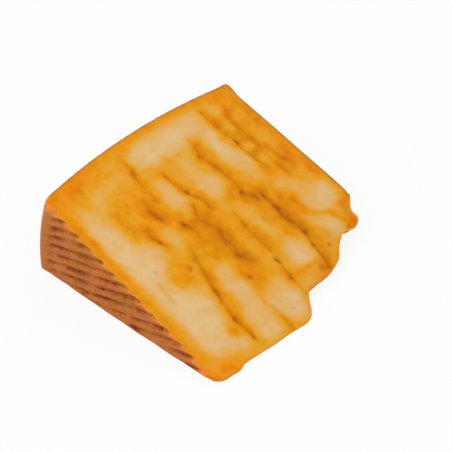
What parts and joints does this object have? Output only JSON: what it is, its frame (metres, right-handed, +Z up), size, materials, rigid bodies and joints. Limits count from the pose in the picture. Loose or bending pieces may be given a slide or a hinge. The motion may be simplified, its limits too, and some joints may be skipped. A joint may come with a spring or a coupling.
{
  "type": "sheep cheese wedge",
  "caption": "Knife-cut wedge of marbled sheep cheese lying on its lower cut face, with a browned ridged rind and a crumbled tip.",
  "frame": {"origin": "centre of the bounding box, at the height of the lower cut face that the wedge lies on", "axes": "+X from the outer rind to the crumbled tip, +Y along the axis of the wheel that the wedge was cut from, +Z up"},
  "size_m": [0.1016, 0.1058, 0.0375],
  "materials": {
    "cheese": "slightly oily cut cheese, cream marbled with gold, with a matt orange-brown rind"
  },
  "bodies": {
    "root": {"cheese_wedge": "cheese"}
  },
  "joints": []
}
